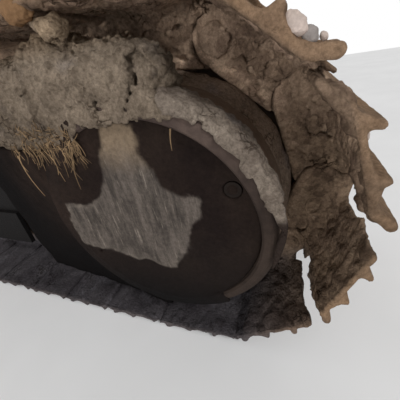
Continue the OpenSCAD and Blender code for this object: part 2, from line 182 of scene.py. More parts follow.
# Roughness: what grows on or is missing from a smooth surface, at points in millimetres
def waves(spots, size, octaves=3, seed=0, smooth=1.0):
    """Fractal unevenness of about -1 to 1, with more of the fine part where smooth is low."""
    places = (spots / size + 31.7 * seed).tolist()
    return np.array([noise.fractal(place, smooth, 2.0, octaves) for place in places])


def crumbs(spots, size, seed=0):
    """Lumps of about that size: 1 at their middles, 0 in the clefts between them."""
    bent = spots + 0.3 * size * waves(spots, size, octaves=1, seed=seed + 1)[:, None]
    places = (bent / size + 17.3 * seed).tolist()
    found = np.array([noise.voronoi(place)[0][:2] for place in places])
    return np.clip((found[:, 1] - found[:, 0]) * 2.2, 0, 1)


def ramp(value, low, high):
    """0 below low, 1 above high, smooth between."""
    t = np.clip((value - low) / (high - low), 0, 1)
    return t * t * (3 - 2 * t)


def roughen(field, axes, grow, band):
    """Moves the surface out by what grow gives at the grid's points that lie near it."""
    near = np.nonzero(np.abs(field) < band)
    spots = np.stack([axis.ravel()[i] for axis, i in zip(axes, near)], 1)
    field[near] -= grow(spots)


CORNERS = np.array([(i, j, k) for i in (0, 1) for j in (0, 1) for k in (0, 1)])


def skin(field, axes, base=None):
    """The surface where a field changes sign: points in crossed cells, quads round crossed edges."""
    for axis in range(3):
        np.moveaxis(field, axis, 0)[[0, -1]] = 1
    low = np.array([axis.ravel()[0] for axis in axes])
    step = axes[0].ravel()[1] - axes[0].ravel()[0]
    inside = field < 0
    shape = [n - 1 for n in field.shape]

    def corner(values, c):
        return values[c[0]:c[0] + shape[0], c[1]:c[1] + shape[1], c[2]:c[2] + shape[2]]

    count = sum(corner(inside, c).astype(np.int8) for c in CORNERS)
    mixed = (count > 0) & (count < 8)
    cells = np.argwhere(mixed)
    number = np.full(shape, -1)
    number[mixed] = np.arange(len(cells))
    values = [corner(field, c)[mixed] for c in CORNERS]
    total = np.zeros((len(cells), 3))
    hits = np.zeros(len(cells))
    for a in range(8):
        for b in range(a + 1, 8):
            edge = CORNERS[b] - CORNERS[a]
            if np.abs(edge).sum() != 1:
                continue
            crossed = (values[a] < 0) != (values[b] < 0)
            share = values[a][crossed] / (values[a][crossed] - values[b][crossed])
            total[crossed] += CORNERS[a] + share[:, None] * edge
            hits[crossed] += 1
    points = low + (cells + total / hits[:, None]) * step
    faces = []
    for axis in range(3):
        b, c = (axis + 1) % 3, (axis + 2) % 3
        lower, upper = [slice(1, -1)] * 3, [slice(1, -1)] * 3
        lower[axis], upper[axis] = slice(0, -1), slice(1, None)
        start, end = inside[tuple(lower)], inside[tuple(upper)]
        for outwards, crossed in ((1, start & ~end), (-1, end & ~start)):
            p = np.argwhere(crossed)
            p[:, b] += 1
            p[:, c] += 1
            ring = []
            for shift_b, shift_c in ((0, 0), (1, 0), (1, 1), (0, 1)):
                q = p.copy()
                q[:, b] -= shift_b
                q[:, c] -= shift_c
                ring.append(number[tuple(q.T)])
            faces.append(np.stack(ring[::outwards], 1))
    part = {"points": points, "faces": np.concatenate(faces), "values": {}}
    if base is not None:
        # Depth below the smooth surface, for painted shade in hollows and painted light on crests
        part["values"]["depth"] = -np.mean([corner(base, c)[mixed] for c in CORNERS], axis=0)
    return part


def build_mesh(name, part):
    faces = part["faces"]
    if not isinstance(faces, list):
        faces = faces.tolist()
    mesh = bpy.data.meshes.new(name)
    mesh.from_pydata((part["points"] * MM).tolist(), [], faces)
    for key, values in part["values"].items():
        mesh.attributes.new(key, "FLOAT", "POINT").data.foreach_set("value", values.astype(np.float32))
    mesh.shade_smooth()
    return mesh


def thin(part, share):
    """The same surface with fewer triangles where it is flat."""
    thing = add_object("thin", build_mesh("thin", part))
    modifier = thing.modifiers.new("thin", "DECIMATE")
    modifier.ratio = share
    mesh = thing.evaluated_get(bpy.context.evaluated_depsgraph_get()).to_mesh()
    points = np.zeros(len(mesh.vertices) * 3)
    mesh.vertices.foreach_get("co", points)
    mesh.calc_loop_triangles()
    faces = np.zeros(len(mesh.loop_triangles) * 3, int)
    mesh.loop_triangles.foreach_get("vertices", faces)
    values = {}
    for key in part["values"]:
        values[key] = np.zeros(len(mesh.vertices))
        mesh.attributes[key].data.foreach_get("value", values[key])
    bpy.data.objects.remove(thing)
    return {"points": points.reshape(-1, 3) / MM, "faces": faces.reshape(-1, 3), "values": values}


def gather(parts):
    """Several surfaces as one."""
    starts = np.cumsum([0] + [len(p["points"]) for p in parts[:-1]])
    faces = []
    for part, start in zip(parts, starts):
        faces.extend((part["faces"] + start).tolist())
    keys = parts[0]["values"]
    return {
        "points": np.concatenate([p["points"] for p in parts]),
        "faces": faces,
        "values": {k: np.concatenate([p["values"][k] for p in parts]) for k in keys},
    }


def piece(name, part, material, body="root", replaces=()):
    mesh = build_mesh(name, part)
    mesh.materials.append(material)
    thing = add_object(name, mesh)
    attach(thing, body)
    if replaces:
        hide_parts(*replaces)
    return thing


def chain_joints():
    """Joints of the links, down round the drive end, along the ground and back along the top."""
    end = LINK_ANGLE * WRAP_LINKS / 2
    around = [end - k * LINK_ANGLE for k in range(WRAP_LINKS)]
    ring = [(WHEEL_X + PIN_CIRCLE * math.cos(a), PIN_CIRCLE * math.sin(a)) for a in around]
    half = STRAIGHT_LINKS * PITCH / 2
    low = [(half - k * PITCH, -PIN_CIRCLE * math.sin(end)) for k in range(STRAIGHT_LINKS)]
    part = np.array(ring + low)
    return np.concatenate([part, -part]) + (0, WHEEL_Z)


JOINTS = chain_joints()


def on_link(points, i):
    """Points of a link's frame (along, across, outward) in the model's frame."""
    start, end = JOINTS[i], JOINTS[(i + 1) % LINKS]
    along = (end - start) / PITCH
    u, y, v = points.T
    x = start[0] + u * along[0] - v * along[1]
    z = start[1] + u * along[1] + v * along[0]
    return np.stack([x, y, z], 1)


def hex_field(a, b, size):
    """A hexagon of that half width across its flats."""
    half, slope = 0.5 * a, 0.866 * b
    return np.maximum(np.abs(a), np.maximum(np.abs(half + slope), np.abs(half - slope))) - size


# A link's form: how far its shoe stands off, where its front lip starts along the link and how far out,
# how far the shoe sits along, how far its clay reaches, how rough it is and how far out the pin's cap is
FORM = ("lift", "start", "lip", "shift", "tongue", "rough", "cap_out")
PLAIN_LINK = dict(zip(FORM, (0, -30, 57, 0, 140, 0.8, 110)))

# Uneven edges of the clay where the ground shows between two shoes: places across and along the link
START_EDGES = {
    3: [(-300, -8), (-226, -9), (-205, -19), (-190, 0), (-100, 4), (-78, -40)],
    4: [
        (-300, -14), (-272, -14), (-249, -5), (-220, 1), (-189, -5),
        (-165, 0), (-111, -1), (-98, 18), (-66, 14), (-50, -40),
    ],
}
END_EDGES = {
    1: [(-300, 130), (-245, 132), (-212, 172), (-190, 188)],
    2: [(-300, 138), (-110, 140), (-84, 160), (-70, 215)],
    3: [
        (-300, 164), (-277, 179), (-235, 191), (-194, 204),
        (-163, 213), (-139, 196), (-106, 184), (-94, 230),
    ],
}

# Section of a shoe as bars that flow together: start (along, out, half thickness), end, and fillet. They
# are the plate, the first grouser, the second with the slope behind it, and the hooked end
SHOE_BARS = [
    (0, 57, 5, 134, 58, 6, 6),
    (4, 60, 7, 12, 76, 5.5, 9),
    (80, 60, 6, 86, 76, 5.5, 9),
    (88, 69, 5, 108, 61, 5, 6),
    (130, 58, 6.5, 158, 75, 8, 7),
]
LIP_R = 5
SHOE_EDGE = 296

# Rails: the web's side view (from and to along the link, inner and outer edge, corners), radii of the
# ends round the pin and the bushing and of the hollows for them in the next link, and where rails lap
WEB = (14, 176, -46, 44, 16)
PIN_END_R, PIN_HOLLOW_R = 46, 49
BUSH_END_R, BUSH_HOLLOW_R = 44, 48
RAIL_LAP = (74, 78)
CAP_R = 30

# Windows in the rails: middles along the link, half length, radius and floor. Bolts of the shoe: places
# along and across the link, half width across flats, and foot and top of the head
WINDOWS, WINDOW_HALF, WINDOW_R, WINDOW_FLOOR = (58, 124), 7, 14, 84
SHOE_BOLTS, SHOE_BOLT_Y, BOLT_HALF, BOLT_FOOT, BOLT_TOP = (48, 121), 78, 15, 56, 74

# Fillet of the clay between shoe and rails, on a plain link and on a very muddy one
FILLET, MUDDY_FILLET = 26, 38


def edge_at(y, edge, plain):
    """The place of a clay edge along the link, which is plain where no other is given."""
    return np.interp(y, *np.array(edge).T) if edge else plain


# Reach of a link's grid: along the link, across it to each side, and outward. A grid with a step below
# the last value has small grains
LINK_U, LINK_SIDE, LINK_V = (-76, 262), 302, (-58, 92)
FINE_STEP = 6


def link_field(u, y, v, form, start_edge=None, end_edge=None):
    """A link: two rails with lapped ends, a pin, a bushing and a shoe with its clay."""
    lift, start, lip, shift, tongue, rough, cap_out = form.values()
    w = v - lift
    s = u - shift
    side = np.abs(y)
    first = edge_at(y, start_edge, start) - shift + LIP_R
    last = edge_at(y, end_edge, tongue)
    shoe = bar_field(s, w, first, lip, LIP_R, 0, 57, 5)
    for u0, w0, r0, u1, w1, r1, fillet in SHOE_BARS:
        shoe = melt(shoe, bar_field(s, w, u0, w0, r0, u1, w1, r1), fillet)
    shoe = melt(shoe, bar_field(u, w, 128 + shift, 60, 5, last, 61, 4), 5)
    shoe = slab_field(shoe, y, -SHOE_EDGE, SHOE_EDGE, 4)
    web = rect_field(u, v, *WEB)
    near_pin, far_pin = np.hypot(u, v), np.hypot(u - PITCH, v)
    outer = carve(melt(web, near_pin - PIN_END_R, 16), far_pin - BUSH_HOLLOW_R, 5)
    inner = carve(melt(web, far_pin - BUSH_END_R, 16), near_pin - PIN_HOLLOW_R, 5)
    outer = slab_field(outer, side, RAIL_LAP[0], RAIL_OUT, 4)
    rails = np.minimum(outer, slab_field(inner, side, RAIL_IN, RAIL_LAP[1], 3))
    for middle in WINDOWS:
        u0, u1 = middle - WINDOW_HALF, middle + WINDOW_HALF
        window = bar_field(u, v, u0, WINDOW_R, WINDOW_R, u1, WINDOW_R, WINDOW_R)
        rails = carve(rails, slab_field(window, side, WINDOW_FLOOR, RAIL_OUT + 24, 4), 4)
    field = melt(shoe, rails, FILLET if rough < 1 else MUDDY_FILLET)
    cap = slab_field(near_pin - CAP_R, y, -cap_out, cap_out, 8)
    bushing = slab_field(near_pin - BUSH_R, y, -RAIL_IN - 2, RAIL_IN + 2, 2)
    field = np.minimum(melt(field, cap, 6), bushing)
    for middle in SHOE_BOLTS:
        head = hex_field(u - middle, side - SHOE_BOLT_Y, BOLT_HALF)
        field = np.minimum(field, slab_field(head, w, BOLT_FOOT, BOLT_TOP, 2))
    return field


def link_part(seed, step, low_y=-LINK_SIDE, high_y=LINK_SIDE, form=PLAIN_LINK):
    """The surface of a link, or of its part between two places across the chain."""
    lift, rough = form["lift"], form["rough"]
    axes = grid((LINK_U[0], low_y, LINK_V[0]), (LINK_U[1], high_y, LINK_V[1]), step)
    base = link_field(*axes, form, START_EDGES.get(seed), END_EDGES.get(seed))
    field = base.copy()

    def mud_share(spots):
        """Less mud on the shoe's outer face, on the rails' running edge and at the shoe's ends."""
        u, y, v = spots.T
        face = 1 - 0.85 * ramp(v - lift, 54, 64)
        edge = 0.25 + 0.75 * ramp(v, -46, -32)
        return face * edge * (1 - 0.6 * ramp(np.abs(y), 284, 298))

    def broad(spots):
        u, y, v = spots.T
        uneven = 3 * crumbs(spots, 30, seed) + 2 * waves(spots, 20, seed=seed)
        lumps = np.maximum(5 * waves(spots, 70, seed=seed) + rough * uneven - 1, -4)
        ledge = 7 * ramp(np.abs(y), 190, 260) * ramp(v - lift, 26, 46) * crumbs(spots, 36, seed + 5)
        pits = 11 * ramp(waves(spots, 24, seed=seed + 7), 0.05, 0.45) * ramp(np.abs(y), 84, 92)
        pits *= ramp(-np.hypot(u - 95, (v - 5) * 1.6), -80, -45) * (np.abs(y) < 125)
        return (lumps + (ledge - pits) * rough) * mud_share(spots)

    def small(spots):
        grains = 2.4 * waves(spots, 12, seed=seed + 3, smooth=0.6) + 1.6 * crumbs(spots, 9, seed + 3)
        return (grains - 1.1) * mud_share(spots) * (0.4 + 0.6 * rough)

    roughen(field, axes, broad, band=16)
    if step < FINE_STEP:
        roughen(field, axes, small, band=6)
    part = skin(field, axes, base)
    side, v = np.abs(part["points"][:, 1]), part["points"][:, 2] - lift
    # Tan of dried mud on the shoes' outer faces and outboard ends, partly painted sunlight
    end = 0.9 * ramp(side, 288, 296) * ramp(v, 49, 57)
    part["values"]["dry"] = np.maximum(ramp(v, 58, 68), end)
    # Painted light on the rails' running edges and the plates' inner faces, which lie in shade
    plate = ramp(v, 38, 47) * (1 - ramp(v, 54, 58)) * ramp(side, 100, 130) * (1 - ramp(side, 280, 292))
    part["values"]["inner"] = np.maximum(ramp(-v, 12, 38), plate)
    return part


# The links that the camera is near, by number, with their forms
NEAR_LINKS = {
    45: (0, -30, 57, 0, 140, 1, 112),
    0: (2, -30, 57, 2, 140, 1, 112),
    1: (6, -30, 57, 0, 188, 1, 108),
    2: (2, -54, 25, 5, 140, 1, 100),
    3: (3, -6, 57, 26, 166, 1, 99),
    4: (6, -11, 57, 26, 206, 0.8, 104),
    5: (4, -38, 57, 26, 206, 0.5, 104),
    6: (0, 8, 57, 26, 214, 0.4, 104),
    7: (0, 26, 57, 26, 204, 0.4, 104),
    8: (0, 12, 57, 26, 196, 0.4, 104),
    9: (0, -4, 57, 26, 190, 0.4, 104),
    10: (0, -4, 57, 20, 166, 0.5, 104),
}
UPPER_LINKS = (45, 0, 1, 2)
FAR_LINKS = range(11, 45)
FIRST_TOP_LINK = 28

# The far links share a few surfaces, and a near one is fine only on the side that the camera sees
VARIANTS = 6
VARIANT_SEED = 20
FINE_UP_TO = -40
FINEST, COARSEST = 2.5, 7
STEP_BY_DISTANCE = 0.0075


def link_step(i):
    """Spacing of a near link's grid, which is finer where the camera is nearer."""
    middle = on_link(np.array([[PITCH / 2, -SHOE_HALF, TO_SHOE]]), i)[0]
    distance = np.linalg.norm(middle - DRIVE - CAMERA_FROM_DRIVE)
    return min(COARSEST, max(FINEST, STEP_BY_DISTANCE * distance)) * COARSER


def place_link(part, i):
    """A link's surface at its place in the chain."""
    return {**part, "points": np.clip(on_link(part["points"], i), BOX_LOW, BOX_HIGH)}


def build_chain(material):
    groups = {"chain_drive_upper": [], "chain_drive_lower": [], "chain_top": [], "chain_bottom": []}
    coarse = COARSEST * COARSER
    for i, row in NEAR_LINKS.items():
        form = dict(zip(FORM, row))
        seen = thin(link_part(i, link_step(i), -LINK_SIDE, FINE_UP_TO, form), share=0.5)
        hidden = thin(link_part(i, coarse, FINE_UP_TO - 2, LINK_SIDE, form), share=0.5)
        parts = groups["chain_drive_upper" if i in UPPER_LINKS else "chain_drive_lower"]
        parts.extend([place_link(seen, i), place_link(hidden, i)])
    variants = [thin(link_part(VARIANT_SEED + k, coarse), share=0.3) for k in range(VARIANTS)]
    for i in FAR_LINKS:
        parts = groups["chain_top" if i >= FIRST_TOP_LINK else "chain_bottom"]
        parts.append(place_link(variants[i * 5 % VARIANTS], i))
    for name, parts in groups.items():
        piece(name, gather(parts), material, replaces=["track"])


# Clay on and beside the drum, from the drum's axis: middle, half sizes and fillet of each lump
CLAY_LUMPS = [
    ((-250, -225, 245), (110, 75, 84), 30),
    ((-125, -228, 262), (100, 72, 86), 30),
    ((-30, -232, 262), (84, 64, 66), 24),
    ((24, -236, 262), (62, 60, 56), 20),
    ((-330, -215, 235), (80, 70, 84), 30),
    ((-66, -266, 345), (25, 24, 18), 4),
    ((-92, -264, 350), (12, 14, 9), 4),
]
CLAY_FRONT = -298

# Outline of the clay that hangs in front of the drum's rim
APRON = [
    (-330, 205), (-280, 198), (-251, 186), (-196, 180), (-150, 180), (-102, 188), (-77, 214), (-51, 206),
    (-10, 212), (29, 214), (48, 220), (75, 212), (100, 214), (60, 262), (-330, 262),
]

# Cracks in the clay's face: a line from one place to another, and half its width
CRACKS = [(48, 292, 42, 252, 4), (22, 228, 38, 248, 3), (-25, 246, -22, 234, 4), (-76, 214, -66, 206, 5)]


def swell(spots):
    """Broad unevenness of the clump's upper part."""
    return 7 * waves(spots, 60, octaves=4, seed=5, smooth=0.8) * ramp(spots[:, 2], 190, 240)


def clod_growth(spots):
    """Clods and hollows, smaller where the clay hangs thin before the rim."""
    clods = 5 * crumbs(spots, 46, seed=6) + 4 * crumbs(spots, 24, seed=26)
    clods = clods + 5 * waves(spots, 40, seed=16, smooth=0.8) - 5
    thick = ramp(spots[:, 2] - 0.12 * np.abs(spots[:, 0]), 205, 250)
    return clods * (0.15 + 0.85 * thick) + 1.5 * (1 - thick)


def crumb_growth(spots):
    return 3.5 * crumbs(spots, 14, seed=7) + 3 * waves(spots, 17, octaves=2, seed=8, smooth=0.8) - 2


def build_clump(material):
    axes = grid((-430, -303, 150), (150, -110, 400), 2.3 * COARSER)
    x, y, z = axes
    base = None
    for middle, half, fillet in CLAY_LUMPS:
        lump = lump_field(x, y, z, middle, half)
        base = lump if base is None else melt(base, lump, fillet)
    apron = inside_outline(x, z, APRON)
    base = melt(base, slab_field(apron, y, CLAY_FRONT, -262, 5), 14)
    field = base.copy()
    roughen(field, axes, swell, band=30)
    field = carve(field, y - CLAY_FRONT, 8)
    for x0, z0, x1, z1, half in CRACKS:
        field = carve(field, np.maximum(bar_field(x, z, x0, z0, half, x1, z1, half * 0.6), y + 268), 4)
    base = field.copy()
    roughen(field, axes, clod_growth, band=18)
    roughen(field, axes, crumb_growth, band=9)
    part = thin(skin(field, axes, base), share=0.6)
    finish_place(part)
    piece("clay_clump", part, material, replaces=["mud_clump"])


# Clay on the beam's roof: the roof's outline across, from the side up, and the run of the beam
ROOF = [(-150, 400), (-150, 435), (-88, 515), (88, 515), (150, 435), (150, 400)]
ROOF_RUN = (-1150, 1290)


def roof_growth(spots):
    broad = 17 * waves(spots, 150, seed=61, smooth=0.9) + 5 * waves(spots, 40, seed=62)
    return broad + 6 * crumbs(spots, 40, seed=63) - 3


def build_roof(material):
    axes = grid((ROOF_RUN[0], -172, 420), (ROOF_RUN[1], 172, 532), 8 * COARSER)
    x, y, z = axes
    out = inside_outline(y, z, ROOF) + 0 * x
    field = out + 6
    roughen(field, axes, roof_growth, band=26)
    field = carve(field, out + 12, 3)
    field = np.maximum(field, 434 - z + 8 * np.sin(x / 60))
    part = thin(skin(field, axes, field + 4), share=0.35)
    part["points"] = np.clip(part["points"], BOX_LOW, BOX_HIGH)
    piece("clay_roof", part, material)


def finish_place(part):
    """Moves a surface from the drum's axis to its place, and into the model's box."""
    part["points"] = np.clip(part["points"] + DRIVE, BOX_LOW, BOX_HIGH)


# Clay on the drum's rim: angle, inner radius at the front, outer radius and place of the back edge
RIM_CLAY = [
    (-16, 240, 250, -296),
    (-4, 238, 254, -291),
    (6, 250, 260, -287),
    (12, 240, 261, -285),
    (23, 233, 261, -277),
    (33, 234, 261, -250),
    (42, 236, 261, -222),
    (52, 238, 261, -238),
    (60, 238, 261, -224),
    (72, 238, 261, -226),
]


def build_strip(material):
    axes = grid((60, -303, -80), (276, -205, 262), 2.5 * COARSER)
    x, y, z = axes
    r = np.hypot(x, z)
    angle = np.degrees(np.arctan2(z, x))
    columns = np.array(RIM_CLAY).T
    inner, outer, back = (np.interp(angle, columns[0], column) for column in columns[1:])
    base = rect_field(r, y, inner, outer, -298, back, 5)
    base = np.maximum(base, np.maximum(columns[0][0] - angle, angle - columns[0][-1]) * 4)
    field = base.copy()

    def crumbly(spots):
        """0.1 where the clay is smooth, at the rim's right, and 1 above."""
        return 0.1 + 0.9 * ramp(np.degrees(np.arctan2(spots[:, 2], spots[:, 0])), 5, 20)

    def lumps(spots):
        broad = 6 * waves(spots, 40, octaves=4, seed=9, smooth=0.8)
        return (broad + 3 * waves(spots, 20, octaves=2, seed=10) - 0.5) * crumbly(spots)

    def grains(spots):
        fine = 3 * waves(spots, 16, octaves=2, seed=18, smooth=0.8)
        return (2 * crumbs(spots, 13, seed=11) + fine - 1) * crumbly(spots)

    roughen(field, axes, lumps, band=14)
    roughen(field, axes, grains, band=8)
    part = skin(field, axes, base)
    part["values"]["pale"] = ramp(crumbly(part["points"]), 0.2, 0.6)
    finish_place(part)
    piece("clay_strip", part, material, replaces=["mud_strip"])


# Packed clay beside the drum: places of its face low on the shoes and high under the clump
BANK_LOW = [(-640, -180), (-267, -212), (-74, -242)]
BANK_HIGH = [(-640, -186), (-360, -256), (-248, -292)]
BANK_FOOT, BANK_TOP = -364, 165


def build_bank(material):
    axes = grid((-642, -300, -372), (-4, -148, 175), 7 * COARSER)
    x, y, z = axes
    low = np.interp(x, *np.array(BANK_LOW).T)
    high = np.interp(x, *np.array(BANK_HIGH).T)
    share = np.clip((z - BANK_FOOT) / (BANK_TOP - BANK_FOOT), 0, 1)
    face = low + (high - low) * share
    base = carve((face - y) * 0.95, BANK_TOP - z, 6)
    base = np.maximum(base, DRUM_R - 4 - np.hypot(x, z))
    base = np.maximum(base, np.maximum(BANK_FOOT - z, x + 60))
    base = np.maximum(base, np.maximum(-638 - x, y + 151))
    field = base.copy()

    def swells(spots):
        return 4 * waves(spots, 120, seed=12) + 1.5 * waves(spots, 25, octaves=2, seed=13) - 2

    roughen(field, axes, swells, band=24)
    part = thin(skin(field, axes, base), share=0.5)
    finish_place(part)
    piece("clay_bank", part, material, replaces=["mud_bank"])


# Clay in the corner between the drum's side and the sprocket: its foot, its back and its radius there
CORNER_FOOT, CORNER_BACK, CORNER_R = -158, -92, 264


def build_corner(material):
    axes = grid((-272, -166, -272), (272, -86, 272), 4 * COARSER)
    x, y, z = axes
    r = np.hypot(x, z)
    rise = (CORNER_R - DRUM_R) * ramp((y - CORNER_FOOT) / (CORNER_BACK - CORNER_FOOT), 0, 0.9)
    base = np.maximum(slab_field(r - DRUM_R - rise, y, CORNER_FOOT, CORNER_BACK, 2), DRUM_R - 8 - r)
    field = base.copy()

    def lumps(spots):
        rise = 3 * waves(spots, 50, octaves=4, seed=51) + 2 * crumbs(spots, 24, seed=52)
        return np.minimum(rise - 1, 2)

    roughen(field, axes, lumps, band=12)
    part = thin(skin(field, axes, base), share=0.5)
    finish_place(part)
    piece("clay_corner", part, material)


# Patch of clay on the cover, from the drum's axis
PATCH = [
    (-40, 206), (-58, 165), (-76, 117), (-108, 66), (-150, 44), (-203, 53),
    (-214, 4), (-207, -63), (-133, -95), (-17, -119), (26, -121), (53, -76),
    (82, -6), (109, 31), (107, 67), (45, 95), (20, 165), (18, 206),
]
PATCH_RISE = 2.0
PLUG_AT = COVER_R - 24
PLUG_ANGLES = (28, 208)
PLUG_HOLE_R, PLUG_R = 16, 11

# Smooth clay that thickens from one radius on the cover to another, out to the rim
FILM_RISE = 14.5
FILM_FROM, FILM_TO = 120, 216
RIM_FILM = (212, 246)


def film_share(x, z):
    """Where smooth clay hides the drum's rim: 1 round its left and its bottom, 0 at the right."""
    angle = np.degrees(np.arctan2(z, x)) % 360
    return ramp(angle, 95, 130) * (1 - ramp(angle, 285, 330))


def from_plug(x, z, angle):
    """Distance from the axis of the plug at that angle."""
    turn = math.radians(angle)
    return np.hypot(x - PLUG_AT * math.cos(turn), z - PLUG_AT * math.sin(turn))


def build_cover(material):
    axes = grid((-254, -300, -254), (254, -262, 254), 3 * COARSER)
    x, y, z = axes
    r = np.hypot(x, z)
    base = slab_field(r - (COVER_R - 0.5), y, -COVER_FACE, -COVER_FACE + 17, 2)
    for angle in PLUG_ANGLES:
        hole = from_plug(x, z, angle) - PLUG_HOLE_R
        base = carve(base, np.maximum(hole, y + COVER_FACE - 8), 2)
    plug = from_plug(x, z, PLUG_ANGLES[0]) - PLUG_R
    base = np.minimum(base, slab_field(plug, y, -COVER_FACE + 0.5, -COVER_FACE + 12, 2))
    film = film_share(x, z)
    rise = film * FILM_RISE * ramp(r, FILM_FROM, FILM_TO)
    front = y < -COVER_FACE + 8
    field = base - np.where(front, rise, 0)
    film_edge = np.maximum(r - RIM_FILM[1], RIM_FILM[0] - r)
    field = melt(field, np.maximum(slab_field(film_edge, y, -296.5, -290, 3), 30 * (0.5 - film)), 4)
    patch = inside_outline(x, z, PATCH)
    field -= PATCH_RISE * ramp(-patch, -5, 12) * front
    roughen(field, axes, lambda s: 1.1 * waves(s, 60, octaves=4, seed=14), band=6)
    part = thin(skin(field, axes, base), share=0.5)
    spots = part["points"]
    x, z = spots[:, 0], spots[:, 2]
    inward = -inside_outline(x, z, PATCH) + 12 * waves(spots, 50, octaves=4, seed=15)
    brim = ramp(-x - z, 20, 90) * ramp(inward, -2, 1) * (1 - ramp(inward, 3, 12))
    part["values"]["patch"] = ramp(inward, -4, 5)
    part["values"]["brim"] = brim * (0.4 + 0.6 * waves(spots, 20, octaves=2, seed=17))
    part["values"]["tan"] = 0.9 * ramp(z + 12 * waves(spots, 30, seed=19), 110, 190)
    part["values"]["film"] = film_share(x, z) * ramp(np.hypot(x, z), FILM_FROM, FILM_TO)
    finish_place(part)
    piece("cover_face", part, material, replaces=["drum_cover"])


def closed(rings):
    """A solid through rings of points, as points and faces."""
    sides = len(rings[0])
    last = (len(rings) - 1) * sides
    faces = [list(range(sides))[::-1], [last + s for s in range(sides)]]
    for start in range(0, last, sides):
        for s in range(sides):
            a, b = start + s, start + (s + 1) % sides
            faces.append([a, b, b + sides, a + sides])
    return np.concatenate(rings), faces


def tube(points, r0, r1, sides=5):
    """A thin rod along a line."""
    points = np.array(points, float)
    rings = []
    for k, point in enumerate(points):
        ahead = points[min(k + 1, len(points) - 1)] - points[max(k - 1, 0)]
        ahead /= np.linalg.norm(ahead)
        across = np.cross(ahead, (0.3, 1, 0.1))
        across /= np.linalg.norm(across)
        third = np.cross(ahead, across)
        r = r0 + (r1 - r0) * k / (len(points) - 1)
        turns = 2 * math.pi * np.arange(sides) / sides
        rings.append(point + r * (np.cos(turns)[:, None] * across + np.sin(turns)[:, None] * third))
    return closed(rings)


def join(shapes):
    """Several small solids as one surface, each with its own tone."""
    points, faces, count = [], [], 0
    for spots, loops in shapes:
        points.append(spots)
        faces.extend([[i + count for i in loop] for loop in loops])
        count += len(spots)
    tones = [np.full(len(spots), k * 0.618 % 1) for k, (spots, loops) in enumerate(shapes)]
    return {"points": np.concatenate(points), "faces": faces, "values": {"tone": np.concatenate(tones)}}


# Straw, from the drum's axis: the clay's lower edge that it hangs from, how many strands hang and lie
# matted above the edge, and the root and end of each long one
STRAW_EDGE = [(-262, 176), (-200, 176), (-150, 174), (-92, 176)]
STRAW_FRONT = -297
STRANDS = 95
MATTED = 120
LONG_STRANDS = [
    ((-260, 165), (-248, 70)),
    ((-111, 172), (-131, 92)),
    ((-96, 182), (-91, 138)),
    ((-160, 175), (-166, 108)),
    ((-142, 176), (-150, 118)),
    ((-178, 174), (-172, 124)),
    ((93, 200), (89, 168)),
    ((-125, 178), (-118, 112)),
]


def build_straw(material):
    chance = np.random.default_rng(3)
    shapes = []

    def strand(x, z, reach_x, reach_z, r):
        bend = chance.uniform(-0.35, 0.35) * math.hypot(reach_x, reach_z)
        out = chance.uniform(-2.2, 0.8)
        line = []
        for t in (0, 0.2, 0.4, 0.6, 0.8, 1):
            swell = bend * math.sin(math.pi * t) * 0.6
            line.append((x + reach_x * t + swell, STRAW_FRONT + out * t, z + reach_z * t))
        shapes.append(tube(line, r, 0.4 * r))

    for k in range(STRANDS):
        x = -92 - 170 * chance.random() ** 1.4
        z = np.interp(x, *np.array(STRAW_EDGE).T) + chance.uniform(-4, 16)
        length = chance.uniform(12, 46)
        strand(x, z, length * chance.uniform(-0.5, 0.5), -length, chance.uniform(0.7, 1.4))
    for k in range(MATTED):
        x, z = chance.uniform(-225, -98), chance.uniform(172, 216)
        turn, length = chance.uniform(0, 2 * math.pi), chance.uniform(10, 32)
        strand(x, z, length * math.cos(turn), length * math.sin(turn) * 0.8, chance.uniform(0.6, 1.1))
    for (x, z), (end_x, end_z) in LONG_STRANDS:
        strand(x, z, end_x - x, end_z - z, 1.5)
    part = join(shapes)
    finish_place(part)
    piece("straw", part, material)


# Stones and a clod on the near shoes: link, place in its frame, half sizes, tone
STONES = [
    (1, (108, -286, 77), (13, 10, 9), 0),
    (1, (127, -282, 78), (10, 9, 8), 1),
    (1, (140, -274, 84), (5, 5, 4), 0),
    (0, (60, -262, 71), (7, 8, 5), 1),
    (2, (44, -240, 69), (9, 8, 6), 0),
    (45, (160, -284, 57), (30, 14, 17), 2),
]


def build_stones(materials):
    for k, (link, middle, half, tone) in enumerate(STONES):
        middle, half = np.array(middle), np.array(half)
        axes = grid(middle - 1.5 * half, middle + 1.5 * half, 1.3)
        field = lump_field(*axes, middle, half)
        widest = max(half)

        def rough_stone(spots):
            return widest / 5 * waves(spots, 1.2 * widest, octaves=4, seed=40 + k, smooth=0.7)

        roughen(field, axes, rough_stone, band=9)
        part = skin(field, axes)
        part["points"] = np.clip(on_link(part["points"], link), BOX_LOW, BOX_HIGH)
        piece(f"stone_{k + 1}", part, materials[tone])


def turned(profile, sides, x, y, z, way):
    """A solid turned about the Y direction, from radii and heights, on a face that looks that way."""
    turns = 2 * math.pi * np.arange(sides) / sides
    rings = []
    for r, h in profile:
        rings.append(np.stack([x + r * np.cos(turns), y + way * h + 0 * turns, z + r * np.sin(turns)], 1))
    points, faces = closed(rings)
    return points, [face[::-way] for face in faces]


# Bolts: the ring on the final drive's casing, and the faces across the track that they sit on
RING_BOLTS, RING_R, RING_START = 16, 190, 11
BRACKET_FACE, COLLAR_FACE, BLOCK_FACE, STAND_FACE, HATCH_FACE = 180, 150, 156, 176, -158

# Places along the track and heights of the other bolts
LAP_X, LAP_Z = (1150, 1215), (296, 346, 396)
ROLLERS, ROLLER_INSET, COLLAR_Z = 8, 420, 240
CARRIER_X, STAND_Z = 380, 392
HATCH_X, HATCH_Z = -843, 375


